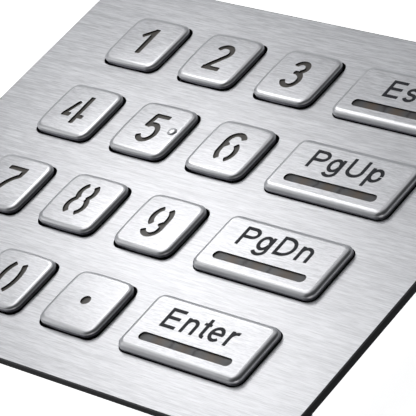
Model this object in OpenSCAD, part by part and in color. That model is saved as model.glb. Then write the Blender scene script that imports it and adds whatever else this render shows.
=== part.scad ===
// Panel-mount stainless keypad with sixteen sprung, backlit metal keys.
// Z = 0 is the seating plane at the back of the front plate and +Z points out of the key tops.
// +X runs along the key rows towards the wide function keys, +Y towards the top row.

/* [Front plate] */
// Thickness of the stainless front plate
plate_t = 1.5; // [1.2:0.1:3]
// Distance from the plate's side edges to the outer apertures
side_margin = 15; // [13:0.5:25]
// Distance from the plate's top and bottom edges to the apertures
end_margin = 9.65; // [9:0.05:20]
// Corner radius of the plate
plate_r = 3; // [1:0.5:6]

/* [Keys] */
// Distance between the columns of square keys
pitch_x = 20; // [20:0.5:24]
// Distance between the key rows
pitch_y = 22.2; // [20:0.1:26]
// Side of a square key's top
key_w = 14.3; // [13:0.1:14.3]
// Width of a function key's top
wide_w = 29; // [24:0.5:34]
// Corner radius of a key in plan
key_r = 2; // [1:0.1:3]
// Width of the bevel that stands for the rounded rim
key_rim = 0.7; // [0.3:0.1:0.9]
// Gap all round between a key and its aperture
key_gap = 0.2; // [0.15:0.05:0.4]
// Height of the key tops above the front plate
key_rise = 1.5; // [1:0.1:2.5]
// Travel of a key from rest to the end of its press
travel = 1; // [0.5:0.1:1]
// Width of the cut strokes of the digits
stroke = 1.2; // [0.8:0.1:1.4]

/* [Stack behind the plate] */
// Width of the retaining flange round a key's foot
flange_w = 1.1; // [0.8:0.1:1.2]
// Thickness of the retaining flange
flange_t = 1; // [0.8:0.1:1.2]
// Height of the rubber domes
dome_h = 2; // [1.8:0.1:3]
// Thickness of the silicone mat's sheet
mat_t = 0.7; // [0.5:0.1:1]
// Thickness of the circuit board
board_t = 1.6; // [1:0.2:2]
// Sheet thickness of the rear cover
cover_t = 0.8; // [0.6:0.1:1.2]
// Depth of the rear cover's pan below the board
pan_depth = 9.4; // [9.4:0.2:14]

/* [Fixings] */
// Distance between the panel studs across the plate
stud_x = 106; // [102:0.5:110]
// Distance between the panel studs up the plate
stud_y = 72; // [40:1:84]
// Length of the panel studs
stud_l = 7; // [6:1:12]
// Thickness of the panel gasket
gasket_t = 1; // [0.5:0.1:2]

/* [Hidden] */

KEYS = [
    ["1", "2", "3", "esc"],
    ["4", "5", "6", "pgup"],
    ["7", "8", "9", "pgdn"],
    ["minus", "0", "point", "enter"]
];

$fn = 32;
eps = 0.02;

// Plan of the key field
cut_w = key_w + 2 * key_gap;
cut_wide = wide_w + 2 * key_gap;
web_x = pitch_x - cut_w;
field_w = 2 * pitch_x + cut_w + web_x + cut_wide;
field_h = 3 * pitch_y + cut_w;
plate_w = field_w + 2 * side_margin;
plate_h = field_h + 2 * end_margin;
column_x = [for (i = [0:2]) -field_w / 2 + cut_w / 2 + i * pitch_x];
wide_x = field_w / 2 - cut_wide / 2;

// Heights through the stack
key_top = plate_t + key_rise;
flange_top = -0.1;
flange_z = flange_top - flange_t;
mat_z = flange_z - dome_h;
board_top = mat_z - mat_t;
board_z = board_top - board_t;
pan_z = board_z - pan_depth;

// Key guide and what it holds
guide_wall = 3;
guide_r = 1;
skirt_wall = 1.2;
board_gap = 0.1;
boss_gap = 0.2;
guide_w = field_w + 2 * guide_wall;
guide_h = field_h + 2 * guide_wall;
board_w = guide_w - 2 * (skirt_wall + board_gap);
board_h = guide_h - 2 * (skirt_wall + board_gap);
boss = 5;
window_gap = 0.3;

// Keycaps, their light guides and the raised dot of the middle key
roof_t = 1.2;
cap_wall = 1.4;
fill_sunk = 0.2;
guide_gap = 0.05;
dot_at = [5.05, 0.25];
dot_r = 1;
dot_h = 0.3;

// Panel studs, with room round them in the gasket for spacers
panel_stud_r = 1.5;
stud_room = 1.3;
gasket_inset = 0.6;
gasket_gap = 0.4;

// Keys' domes: one under a square key, two under a wide one
dome_r = 4.6;
dome_cut_r = 3.8;
dome_top_r = 3;
dome_wall = 0.6;
pill_r = 1.7;
pill_t = 1;
pad_r = 2;
pad_t = 0.06;
lamp = [0.8, 1.6, 0.6];
lamp_x = 2.85;
wide_dome_x = 8;

// Rear cover's pan and screws
cover_flange = 8.5;
pan_w = guide_w - 2 * cover_flange;
pan_h = guide_h - 2 * cover_flange;
pan_r = 3;
cover_screw_x = guide_w / 2 - boss / 2;
cover_screw_y = guide_h / 2 - boss / 2;
screw_r = 1;
screw_l = 1.8;
screw_head_r = 1.9;
screw_head_h = 1.3;
screw_slot = 0.5;

// Studs that hold the stack stand in the webs between the keys
stack_stud_r = 1;
stack_stud_l = -board_z + 2.6;
stack_stud_gap = 0.2;
washer_r = 2.2;
washer_t = 0.4;
nut_r = 2.3;
nut_t = 1.6;
stack_x = [column_x[0] + pitch_x / 2, column_x[1] + pitch_x / 2,
           (column_x[2] + key_w / 2 + wide_x - wide_w / 2) / 2];
stack_y = [-pitch_y, 0, pitch_y];

// Box header for the ribbon lead
header_x = 0;
header_y = -pitch_y / 2;
header_base = 2;
pin_l = 6.9;
header_l = 20.3;
header_w = 8.9;
header_h = 8.9;
header_wall = 1.2;
header_notch = 4.4;
pin_w = 0.64;
pin_pitch = 2.54;

// Other parts on the back of the board
chip_at = [-19, 11];
chip_side = 10;
chip_t = 1.3;
crystal_at = [-19, 26];
crystal_l = 11;
crystal_w = 4.6;
buzzer_at = [26, 10];
buzzer_r = 6;
buzzer_h = 5.4;
sound_pitch = 2;
sound_r = 0.5;
capacitor_at = [26, -24];
capacitor_r = 3.1;
capacitor_h = 5.6;

// Earth terminal on the cover's flange
earth_x = -24;
earth_y = -(pan_h + guide_h) / 4;
earth_r = 1.5;
earth_l = 4.6;
tag_t = 0.8;
tag_w = 4.8;
tag_l = 9.5;
tag_eye_r = 2.9;
tag_hole_r = 0.7;
earth_nut_r = 3.1;
earth_nut_t = 2.4;

function row_y(r) = (1.5 - r) * pitch_y;
function col_x(c) = c == 3 ? wide_x : column_x[c];

// Points of an elliptical arc, angles in degrees, running from a0 to a1
function arc(cx, cy, rx, ry, a0, a1, n = 10) =
    [for (i = [0:n]) let (a = a0 + (a1 - a0) * i / n) [cx + rx * cos(a), cy + ry * sin(a)]];

// Unit normal to the left of the path at point i
function unit(v) = v / norm(v);
function side(p, i) =
    let (n = len(p), d = unit(p[min(i + 1, n - 1)] - p[max(i - 1, 0)])) [-d[1], d[0]];

// A stroke of even width along a path of points
module pen(p, w = stroke) {
    n = len(p);
    polygon(concat(
        [for (i = [0:n - 1]) p[i] + side(p, i) * w / 2],
        [for (i = [n - 1:-1:0]) p[i] - side(p, i) * w / 2]
    ));
}

// The six, and turned by half a turn the nine
module six() {
    pen(concat(arc(0.1, 1.6, 1.85, 2.05, 25, 180), arc(0.2, -0.9, 1.95, 2.75, 180, 243, 6)));
    pen([[-1.55, 0.05], [-0.65, 0.95]], 1);
    pen(arc(0.2, -1.3, 1.9, 2.4, 64, -64));
}

// Two facing brackets, the halves of a round bowl with a bridge above and below
module bowl(cx, cy, rx, ry, open) {
    pen(arc(cx, cy, rx, ry, 90 + open, 270 - open));
    pen(arc(cx, cy, rx, ry, 90 - open, open - 90));
}

// Outline of a key's through-cut legend
module legend(name) {
    if (name == "1") {
        pen([[0.4, -3.8], [0.4, 3.85]], 1.3);
        pen([[-1.95, 1.15], [0.15, 3.2]], 1.1);
    }
    if (name == "2") {
        pen(concat(arc(-0.1, 1.65, 1.75, 1.65, 165, -35, 12), [[-1.45, -3]]));
        pen([[-2.2, -3.25], [2.2, -3.25]], 1.1);
    }
    if (name == "3") {
        pen(arc(-0.45, 2.15, 1.45, 1.35, 172, -75, 12));
        pen([[-1.2, 0.6], [-0.1, 0.6]], 1);
        pen(arc(-0.45, -1.4, 1.75, 1.95, 88, -165, 14));
    }
    if (name == "4") {
        pen([[0.95, -4.1], [0.95, 3.95]]);
        pen([[0.95, -1.9], [2.7, -1.9]], 1.1);
        pen([[-0.95, 2.1], [-2.5, -1.9]], 1.05);
        pen([[-3, -1.9], [-0.75, -1.9]], 1.1);
    }
    if (name == "5") {
        pen([[-1.75, 3.4], [2.1, 3.4]], 1.1);
        pen([[-1.25, 3.6], [-1.7, 0.05]]);
        pen(arc(-0.1, -1.35, 1.85, 2.3, 138, -155, 16));
    }
    if (name == "6") six();
    if (name == "7") {
        pen([[-2.6, 3.4], [2.35, 3.4]], 1.1);
        pen(concat([[1.8, 3.4]], arc(4.6, -4, 5.5, 6.6, 122, 178, 6)));
    }
    if (name == "8") {
        bowl(-0.35, 2.25, 1.75, 2.1, 30);
        bowl(-0.35, -1.45, 2.05, 2.25, 28);
    }
    if (name == "9") translate([-0.25, 0.1]) rotate(180) six();
    if (name == "0") bowl(0.15, 0.1, 1.95, 4.15, 31);
    if (name == "point") translate([-0.05, 0.1]) circle(r = 1.08);
    if (name == "minus") square([4.4, 1.2], center = true);
}

module rounded(w, h, r) {
    square([w - 2 * r, h], center = true);
    square([w, h - 2 * r], center = true);
    for (x = [-1, 1], y = [-1, 1])
        translate([x * (w / 2 - r), y * (h / 2 - r)]) circle(r = r);
}

module slab(w, h, r, z0, z1) {
    translate([0, 0, z0]) linear_extrude(z1 - z0) rounded(w, h, r);
}

// Places its children at every key; $wide says whether the key is a wide one
module at_keys() {
    for (r = [0:3], c = [0:3])
        translate([col_x(c), row_y(r), 0]) let ($wide = c == 3) children();
}

// Places its children at every dome
module at_domes() {
    at_keys()
        for (x = $wide ? [-wide_dome_x, wide_dome_x] : [0]) translate([x, 0, 0]) children();
}

module at_stack_studs() {
    for (x = stack_x, y = stack_y) translate([x, y, 0]) children();
}

module at_corners(x, y) {
    for (i = [-1, 1], j = [-1, 1]) translate([i * x, j * y, 0]) children();
}

module bar(r, z0, z1) {
    translate([0, 0, z0]) cylinder(r = r, h = z1 - z0);
}

// Outline of the board and mat, notched at the corners round the guide's bosses
module board_outline() {
    difference() {
        square([board_w, board_h], center = true);
        for (i = [-1, 1], j = [-1, 1])
            translate([i * guide_w / 2, j * guide_h / 2])
                square(2 * (boss + boss_gap), center = true);
        for (x = stack_x, y = stack_y)
            translate([x, y]) circle(r = stack_stud_r + stack_stud_gap);
    }
}

// Stainless face with one aperture for each key
module front_plate() {
    color("silver") difference() {
        slab(plate_w, plate_h, plate_r, 0, plate_t);
        at_keys() slab($wide ? cut_wide : cut_w, cut_w, key_r + key_gap, -1, plate_t + 1);
    }
}

// Four threaded studs welded to the back of the plate
module panel_studs() {
    color("gainsboro") at_corners(stud_x / 2, stud_y / 2) bar(panel_stud_r, -stud_l, 0);
}

// Foam rubber seal between the plate and the panel
module panel_gasket() {
    color("dimgray") difference() {
        slab(plate_w - 2 * gasket_inset, plate_h - 2 * gasket_inset, plate_r - 1, -gasket_t, 0);
        slab(guide_w + 2 * gasket_gap, guide_h + 2 * gasket_gap, guide_r, -gasket_t - 1, 1);
        at_corners(stud_x / 2, stud_y / 2) bar(panel_stud_r + stud_room, -gasket_t - 1, 1);
    }
}

// Moulded frame that spaces the stack and guides the key flanges
module key_guide() {
    foot = 2 * (flange_w + window_gap);
    color("darkslategray") difference() {
        union() {
            slab(guide_w, guide_h, guide_r, mat_z, 0);
            difference() {
                slab(guide_w, guide_h, guide_r, board_z, mat_z + eps);
                slab(guide_w - 2 * skirt_wall, guide_h - 2 * skirt_wall, 0.6, board_z - 1, mat_z);
            }
            at_corners(cover_screw_x, cover_screw_y)
                translate([0, 0, (board_z + mat_z) / 2])
                    cube([boss, boss, mat_z - board_z], center = true);
        }
        at_keys() slab(($wide ? wide_w : key_w) + foot, key_w + foot, key_r, mat_z - eps, 1);
        at_stack_studs() bar(stack_stud_r + stack_stud_gap, board_z - 1, 1);
        at_corners(cover_screw_x, cover_screw_y) bar(screw_r, board_z - 1, board_z + 2);
    }
}

// Nine thin studs welded to the plate, which carry the guide, mat and board
module stack_studs() {
    color("gainsboro") at_stack_studs() bar(stack_stud_r, -stack_stud_l, 0);
}

// Silicone sheet that lies on the board, open under each dome
module silicone_mat() {
    color("whitesmoke") difference() {
        translate([0, 0, board_top]) linear_extrude(mat_t) board_outline();
        at_domes() bar(dome_cut_r, board_top - 1, mat_z + 1);
    }
}

// Hollow rubber domes, part of the mat, which push the keys back
module mat_domes() {
    color("white") at_domes() translate([0, 0, mat_z]) rotate_extrude() polygon([
        [dome_cut_r, 0], [dome_r, 0], [dome_top_r + 0.2, dome_h - 0.5], [dome_top_r, dome_h],
        [0, dome_h], [0, dome_h - dome_wall], [dome_top_r - dome_wall, dome_h - dome_wall]
    ]);
}

// Carbon pills that close the contacts
module contact_pills() {
    pill_top = flange_z - dome_wall;
    color("black") at_domes() bar(pill_r, pill_top - pill_t, pill_top);
}

module circuit_board() {
    color("darkgreen") translate([0, 0, board_z]) linear_extrude(board_t) board_outline();
}

// Pairs of gold-plated half rounds under the domes
module contact_pads() {
    color("gold") at_domes() difference() {
        bar(pad_r, board_top, board_top + pad_t);
        translate([0, 0, board_top]) cube([0.4, 6, 1], center = true);
    }
}

// Two amber lamps inside each dome
module backlight_leds() {
    color("orange") at_domes()
        for (x = [-lamp_x, lamp_x])
            translate([x, 0, board_top + lamp[2] / 2]) cube(lamp, center = true);
}

module stack_washers() {
    color("lightgray") at_stack_studs() difference() {
        bar(washer_r, board_z - washer_t, board_z);
        bar(stack_stud_r + 0.1, board_z - 1, board_z + 1);
    }
}

module stack_nuts() {
    color("silver") at_stack_studs() difference() {
        translate([0, 0, board_z - washer_t - nut_t]) cylinder(r = nut_r, h = nut_t, $fn = 6);
        bar(stack_stud_r, board_z - 3, board_z);
    }
}

// Flat package with its leads along all four sides
module controller_chip() {
    lead = [1, 0.3, 0.2];
    lead_pitch = 0.8;
    translate([chip_at[0], chip_at[1], board_z]) {
        color("black") translate([0, 0, -lead[2] - chip_t / 2])
            cube([chip_side, chip_side, chip_t], center = true);
        color("silver") for (a = [0:90:270], i = [-5:5])
            rotate(a) translate([(chip_side + lead[0]) / 2 - 0.05, i * lead_pitch, -lead[2] / 2])
                cube(lead, center = true);
    }
}

// Clock crystal in a round-ended can
module crystal() {
    can_r = crystal_w / 2 - 0.01;
    rim = 0.4;
    color("silver") translate([crystal_at[0], crystal_at[1], 0]) {
        slab(crystal_l, crystal_w, can_r, board_z - 3.4, board_z);
        slab(crystal_l + 2 * rim, crystal_w + 2 * rim, can_r + rim, board_z - 0.5, board_z);
    }
}

// Sounder that clicks when a key is read
module buzzer() {
    color("black") translate([buzzer_at[0], buzzer_at[1], 0]) difference() {
        bar(buzzer_r, board_z - buzzer_h, board_z);
        bar(1, board_z - buzzer_h - 1, board_z - buzzer_h + 0.8);
    }
}

module filter_capacitor() {
    base = [2 * capacitor_r + 0.4, 2 * capacitor_r + 0.4, 0.6];
    translate([capacitor_at[0], capacitor_at[1], board_z]) {
        color("silver") bar(capacitor_r, -capacitor_h, -base[2]);
        color("black") translate([0, 0, -base[2] / 2]) cube(base, center = true);
    }
}

// Rows of resistors and small capacitors round the controller
module small_parts() {
    resistor = [2, 1.2, 0.6];
    capacitor = [1.2, 2, 0.8];
    color("tan") translate([0, 0, board_z]) {
        for (i = [0:5]) translate([-32, 2 + i * 3.6, -resistor[2] / 2]) cube(resistor, center = true);
        for (i = [0:5])
            translate([2 + i * 2.8, 10, -resistor[2] / 2]) rotate(90) cube(resistor, center = true);
        for (i = [0:3])
            translate([-24 + i * 3, 1.5, -capacitor[2] / 2]) cube(capacitor, center = true);
    }
}

// Ten square pins in two rows
module header_pins() {
    color("gold") for (i = [-2:2], j = [-1, 1])
        translate([header_x + i * pin_pitch, header_y + j * pin_pitch / 2, board_z - pin_l / 2])
            cube([pin_w, pin_w, pin_l], center = true);
}

// Shrouded header that the ribbon lead plugs into from behind
module connector_header() {
    inner = [header_l - 2 * header_wall, header_w - 2 * header_wall, header_h];
    color("black") difference() {
        translate([header_x, header_y, board_z - header_h / 2]) difference() {
            cube([header_l, header_w, header_h], center = true);
            translate([0, 0, -header_base]) cube(inner, center = true);
            translate([0, header_w / 2, -header_base])
                cube([header_notch, 4, header_h], center = true);
        }
        header_pins();
    }
}

// Pressed steel tray over the back of the board
module rear_cover() {
    hollow = 2 * cover_t;
    color("lightsteelblue") difference() {
        union() {
            slab(guide_w, guide_h, guide_r, board_z - cover_t, board_z);
            slab(pan_w, pan_h, pan_r, pan_z, board_z);
        }
        slab(pan_w - hollow, pan_h - hollow, pan_r - cover_t, pan_z + cover_t, board_z + 1);
        at_corners(cover_screw_x, cover_screw_y) bar(screw_r + 0.2, board_z - 2, board_z + 1);
        translate([header_x, header_y, pan_z])
            cube([header_l + 1, header_w + 1, 4], center = true);
        for (i = [-1:1], j = [-1:1])
            translate([buzzer_at[0] + i * sound_pitch, buzzer_at[1] + j * sound_pitch, 0])
                bar(sound_r, pan_z - 1, pan_z + 2);
    }
}

// Pan-head screws through the cover's corners into the guide's bosses
module cover_screws() {
    head_z = board_z - cover_t - screw_head_h;
    color("silver") at_corners(cover_screw_x, cover_screw_y) difference() {
        union() {
            bar(screw_head_r, head_z, board_z - cover_t);
            bar(screw_r, board_z - cover_t - 0.1, board_z + screw_l);
        }
        for (a = [0, 90]) rotate(a)
            translate([0, 0, head_z]) cube([2.2, screw_slot, 1.2], center = true);
    }
}

// Threaded stud welded to the back of the cover's flange
module earth_stud() {
    color("gainsboro") translate([earth_x, earth_y, 0])
        bar(earth_r, board_z - cover_t - earth_l, board_z - cover_t);
}

// Tinned tag that the earth lead's receptacle pushes on to
module earth_tag() {
    color("gold") translate([earth_x, earth_y, board_z - cover_t - tag_t]) difference() {
        union() {
            bar(tag_eye_r, 0, tag_t);
            translate([2, -tag_w / 2, 0]) cube([tag_l, tag_w, tag_t]);
        }
        bar(earth_r + 0.1, -1, tag_t + 1);
        translate([tag_l, 0, 0]) bar(tag_hole_r, -1, tag_t + 1);
    }
}

module earth_nut() {
    nut_z = board_z - cover_t - tag_t - earth_nut_t;
    color("silver") translate([earth_x, earth_y, 0]) difference() {
        translate([0, 0, nut_z]) cylinder(r = earth_nut_r, h = earth_nut_t, $fn = 6);
        bar(earth_r, nut_z - 1, nut_z + earth_nut_t + 1);
    }
}

// Slot for the light bar of a function key
module light_slot() {
    translate([-0.1, -3.55]) rounded(21.7, 2, 0.999);
}

// Metal key with a bevelled rim, a foot flange and a hollow for its light guide. The middle
// key has a raised dot to find by touch.
module keycap(w, name) {
    inner_r = key_r - key_rim;
    if (name == "5") color("silver") translate(dot_at) bar(dot_r, key_top - eps, key_top + dot_h);
    color("silver") difference() {
        union() {
            slab(w, key_w, key_r, flange_z, key_top - key_rim);
            hull() {
                slab(w, key_w, key_r, key_top - key_rim - eps, key_top - key_rim);
                slab(w - 2 * key_rim, key_w - 2 * key_rim, inner_r, key_top - eps, key_top);
            }
            slab(w + 2 * flange_w, key_w + 2 * flange_w, key_r, flange_z, flange_top);
        }
        slab(w - 2 * cap_wall, key_w - 2 * cap_wall, 1, flange_z - 1, key_top - roof_t);
        translate([0, 0, key_top - roof_t - 1]) linear_extrude(roof_t + 2)
            if (w > key_w) light_slot(); else legend(name);
    }
}

// Clear block under the cap, with the legend standing up into the cut
module light_guide(w, name) {
    hollow = cap_wall + guide_gap;
    block_top = key_top - roof_t - guide_gap;
    color("sienna") {
        slab(w - 2 * hollow, key_w - 2 * hollow, 0.9, flange_z, block_top);
        translate([0, 0, block_top - eps]) linear_extrude(roof_t - fill_sunk + guide_gap + eps)
            if (w > key_w) light_slot(); else legend(name);
    }
}

front_plate();
panel_studs();
panel_gasket();
key_guide();
stack_studs();
silicone_mat();
mat_domes();
contact_pills();
circuit_board();
contact_pads();
backlight_leds();
stack_washers();
stack_nuts();
controller_chip();
crystal();
buzzer();
filter_capacitor();
small_parts();
connector_header();
header_pins();
rear_cover();
cover_screws();
earth_stud();
earth_tag();
earth_nut();

for (r = [0:3], c = [0:3]) let (name = KEYS[r][c], w = c == 3 ? wide_w : key_w) {
    translate([col_x(c), row_y(r), 0]) keycap(w, name);
    translate([col_x(c), row_y(r), 0]) light_guide(w, name);
}
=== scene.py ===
import math

import bmesh
import bpy
import numpy as np
from mathutils import Matrix, Vector, geometry


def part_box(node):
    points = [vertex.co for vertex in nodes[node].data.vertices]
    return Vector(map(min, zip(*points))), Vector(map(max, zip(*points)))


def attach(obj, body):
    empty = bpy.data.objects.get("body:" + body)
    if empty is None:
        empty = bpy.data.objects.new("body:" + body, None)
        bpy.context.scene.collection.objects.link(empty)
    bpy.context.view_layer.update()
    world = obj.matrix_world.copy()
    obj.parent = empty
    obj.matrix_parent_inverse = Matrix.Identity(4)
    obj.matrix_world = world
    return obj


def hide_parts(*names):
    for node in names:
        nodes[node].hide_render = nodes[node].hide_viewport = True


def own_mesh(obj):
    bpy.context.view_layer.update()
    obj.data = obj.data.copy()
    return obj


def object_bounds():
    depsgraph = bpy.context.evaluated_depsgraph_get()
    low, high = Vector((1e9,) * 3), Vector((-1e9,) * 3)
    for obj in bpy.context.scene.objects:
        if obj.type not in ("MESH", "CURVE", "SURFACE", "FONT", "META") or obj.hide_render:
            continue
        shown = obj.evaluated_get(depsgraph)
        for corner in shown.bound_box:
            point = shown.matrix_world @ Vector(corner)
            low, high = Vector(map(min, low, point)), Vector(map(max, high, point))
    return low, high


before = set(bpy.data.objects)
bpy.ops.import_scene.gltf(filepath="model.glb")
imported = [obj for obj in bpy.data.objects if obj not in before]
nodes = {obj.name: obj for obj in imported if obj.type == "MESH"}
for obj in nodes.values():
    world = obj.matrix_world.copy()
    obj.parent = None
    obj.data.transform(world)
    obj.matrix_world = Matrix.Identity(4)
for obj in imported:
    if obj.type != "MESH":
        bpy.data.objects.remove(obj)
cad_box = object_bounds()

# ------------------------------
# Studio: a plain pale floor under the keypad, a long lens above its right front corner, and soft
# lamps: three behind it that the brushed face mirrors to the camera, and four weak ones round it.
# ------------------------------
plate_low, plate_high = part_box("front_plate")
object_low = Vector(cad_box[0])

azimuth, elevation, camera_roll = (math.radians(a) for a in (52.41, 36.58, -22.5))
look_at = Vector((0.0082, -0.0035, plate_high.z))
camera_distance = 0.5166
camera_data = bpy.data.cameras.new("camera")
camera_data.lens = 240.2
camera_data.sensor_width = 36
camera_data.clip_start = 0.05
camera = bpy.data.objects.new("camera", camera_data)
camera_turn = Matrix.Rotation(azimuth, 4, "Z") @ Matrix.Rotation(math.pi / 2 - elevation, 4, "X")
camera_turn = camera_turn @ Matrix.Rotation(camera_roll, 4, "Z")
camera_place = look_at + camera_turn.to_3x3() @ Vector((0, 0, camera_distance))
camera.matrix_world = Matrix.Translation(camera_place) @ camera_turn
bpy.context.scene.collection.objects.link(camera)
bpy.context.scene.camera = camera


def soft_lamp(name, azimuth_deg, elevation_deg, distance, width, height, glow, aim=look_at):
    """A rectangular lamp that faces a point from a compass direction and a height angle, with a surface
    as bright as glow times white."""
    lamp = bpy.data.lights.new(name, "AREA")
    lamp.shape = "RECTANGLE"
    lamp.size, lamp.size_y, lamp.energy = width, height, glow * math.pi * width * height
    holder = bpy.data.objects.new(name, lamp)
    a, e = math.radians(azimuth_deg), math.radians(elevation_deg)
    away = Vector((math.sin(a) * math.cos(e), -math.cos(a) * math.cos(e), math.sin(e)))
    holder.location = aim + away * distance
    holder.rotation_euler = away.to_track_quat("Z", "Y").to_euler()
    holder.visible_camera = False
    bpy.context.scene.collection.objects.link(holder)


# azimuth and height angle of each lamp, its distance, width, height and brightness
lower_keys = Vector((0.02, -0.03, plate_high.z))
soft_lamp("near_softbox", 231, 38, 0.2, 0.055, 0.055, 2.75, lower_keys)
soft_lamp("mirror_softbox", 231, 38, 0.5, 0.15, 0.12, 1.0, lower_keys)
soft_lamp("high_softbox", 250, 62, 0.3, 0.15, 0.15, 1.3, lower_keys)
soft_lamp("left_softbox", 285, 35, 0.6, 0.34, 0.25, 0.55)
soft_lamp("back_softbox", 192, 52, 0.6, 0.3, 0.28, 0.45)
soft_lamp("front_softbox", 310, 35, 0.8, 0.4, 0.3, 0.4)
soft_lamp("low_softbox", 45, 14, 0.9, 0.5, 0.16, 1.1)


class Wire:
    """A number, colour or vector that varies over a surface. + - * on a number add Math nodes."""

    def __init__(self, tree, socket=None):
        self.tree, self.socket = tree, socket

    def node(self, kind, settings=None, output=0, **sockets):
        """Adds a node with its settings, then its sockets' values or wires; _0, _1 name a socket by place."""
        made = self.tree.nodes.new(kind)
        for name, value in (settings or {}).items():
            if name == "stops":
                ramp = made.color_ramp.elements
                while len(ramp) < len(value):
                    ramp.new(0.5)
                for stop, (place, colour) in zip(ramp, value):
                    stop.position = place
                    stop.color = (*colour, 1)
            else:
                setattr(made, name, value)
        for name, value in sockets.items():
            socket = made.inputs[int(name[1:]) if name[0] == "_" else name.replace("_", " ")]
            if isinstance(value, Wire):
                self.tree.links.new(value.socket, socket)
            else:
                socket.default_value = value
        return Wire(self.tree, made.outputs[output])

    def maths(self, operation, first, second=0.0):
        return self.node("ShaderNodeMath", {"operation": operation}, _0=first, _1=second)

    def __add__(self, other):
        return self.maths("ADD", self, other)

    def __sub__(self, other):
        return self.maths("SUBTRACT", self, other)

    def __mul__(self, other):
        return self.maths("MULTIPLY", self, other)

    def __rsub__(self, other):
        return self.maths("SUBTRACT", other, self)

    __radd__, __rmul__ = __add__, __mul__

    def clip(self, low, high):
        """0 below low, 1 above high and a smooth step between them."""
        settings = {"interpolation_type": "SMOOTHSTEP"}
        return self.node("ShaderNodeMapRange", settings, Value=self, From_Min=low, From_Max=high)

    def tint(self, first, second):
        """Colour first where this is 0, second where it is 1."""
        return self.node("ShaderNodeMix", {"data_type": "RGBA"}, 2, _0=self, _6=first, _7=second)


def finish(name, **constants):
    """A Principled material with constants on its sockets: (material, wire maker, linker of wires)."""
    material = bpy.data.materials.new(name)
    material.use_nodes = True
    tree = material.node_tree
    shader = tree.nodes["Principled BSDF"]
    for socket, value in constants.items():
        shader.inputs[socket.replace("_", " ")].default_value = value

    def link(**wires):
        for socket, wire in wires.items():
            tree.links.new(wire.socket, shader.inputs[socket.replace("_", " ")])

    return material, Wire(tree), link


def place(make, stretch=(1, 1, 1), shift=(0, 0, 0)):
    """Object coordinates in metres, moved by shift and then multiplied by stretch."""
    where = make.node("ShaderNodeTexCoord", output=3)
    moved = make.node("ShaderNodeVectorMath", {"operation": "SUBTRACT"}, _0=where, _1=shift)
    return make.node("ShaderNodeVectorMath", {"operation": "MULTIPLY"}, _0=moved, _1=stretch)


def noise(make, stretch, detail=2.0, rough=0.5, shift=(0, 0, 0)):
    """Smooth noise from 0 to 1, with stretch cells to a metre along each axis."""
    spot = place(make, stretch, shift)
    return make.node("ShaderNodeTexNoise", {"noise_dimensions": "3D"}, Vector=spot, Scale=1.0, Detail=detail,
                     Roughness=rough)


def relief(make, height, depth):
    """A bump from a height of 0 to 1 that stands for depth metres."""
    return make.node("ShaderNodeBump", Height=height, Distance=depth, Strength=1.0)


world = bpy.data.worlds.new("studio")
world.use_nodes = True
make = Wire(world.node_tree)
where = make.node("ShaderNodeTexCoord", output=0)
bright_side = (-0.82, 0.32, 0.47)
towards_light = make.node("ShaderNodeVectorMath", {"operation": "DOT_PRODUCT"}, 1, _0=where, _1=bright_side)
upward = make.node("ShaderNodeSeparateXYZ", output=2, _0=where)
horizon = 1 - upward.clip(0.16, 0.36)
glow = towards_light.clip(0.1, 0.9) * 0.26 + horizon * 0.34 + 0.035
background = world.node_tree.nodes["Background"]
background.inputs["Color"].default_value = (0.93, 0.96, 1.0, 1)
world.node_tree.links.new(glow.socket, background.inputs["Strength"])
bpy.context.scene.world = world
bpy.context.scene.view_settings.view_transform = "Standard"

floor_material, make, link = finish("pale_floor", Roughness=0.85, Specular_IOR_Level=0.2,
                                    Emission_Color=(1, 1, 1, 1), Emission_Strength=0.9)
link(Base_Color=noise(make, (9, 9, 9)).tint((0.93, 0.93, 0.94, 1), (0.96, 0.96, 0.965, 1)))
floor_mesh = bpy.data.meshes.new("floor")
floor_corners = [(x, y, object_low.z) for x, y in ((-3, -3), (3, -3), (3, 3), (-3, 3))]
floor_mesh.from_pydata(floor_corners, [], [(0, 1, 2, 3)])
floor_mesh.materials.append(floor_material)
floor = bpy.data.objects.new("floor", floor_mesh)
bpy.context.scene.collection.objects.link(floor)

# ------------------------------
# Front plate: 1.5 mm brushed stainless sheet, laser cut. Its rim and the lips of the sixteen
# apertures are rolled over; the rolled rim, the cut edge and the aperture walls are coloured
# near black as painted shade. Shapes are in millimetres until they go into a mesh.
# ------------------------------
housing = "housing"
plate_w, plate_h = (plate_high - plate_low).x * 1000, (plate_high - plate_low).y * 1000
plate_t = plate_high.z * 1000
plate_r = 3
key_gap = 0.2
key_r = 2
edge_roll = 0.16
lip_roll = 0.06


def ring(width, height, radius, steps=10, sides=0, bulge=0.0):
    """Rounded rectangle, anticlockwise: a quarter circle at each corner, then points evenly along the side.
    Its sides swell outwards by bulge, as one minus the square of the place along them."""
    half = np.array([width / 2, height / 2])
    angle = np.radians(np.arange(4)[:, None] * 90 + np.linspace(0, 90, steps + 1))
    centre = np.array([[1, 1], [-1, 1], [-1, -1], [1, -1]]) * (half - radius)
    corner = centre[:, None] + radius * np.stack([np.cos(angle), np.sin(angle)], -1)
    along = np.linspace(0, 1, sides + 2)[1:-1, None]
    side = corner[:, -1, None] * (1 - along) + np.roll(corner[:, 0], -1, axis=0)[:, None] * along
    points = np.concatenate([corner, side], axis=1).reshape(-1, 2)
    across = points[:, ::-1] / half[::-1]
    return points * (1 + bulge * (1 - across**2) / half)


def lift(points, z):
    """The same plan points at height z, a number or one number for each point."""
    return np.column_stack([points, np.broadcast_to(z, len(points))])


def skin(rings):
    """Quads between successive closed rings that have the same number of points."""
    rings = np.stack(rings)
    rows, count = rings.shape[:2]
    here = (np.arange(rows - 1)[:, None] * count + np.arange(count)).ravel()
    ahead = (np.arange(rows - 1)[:, None] * count + (np.arange(count) + 1) % count).ravel()
    return rings.reshape(-1, 3), np.stack([here, ahead, ahead + count, here + count], -1)


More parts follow.
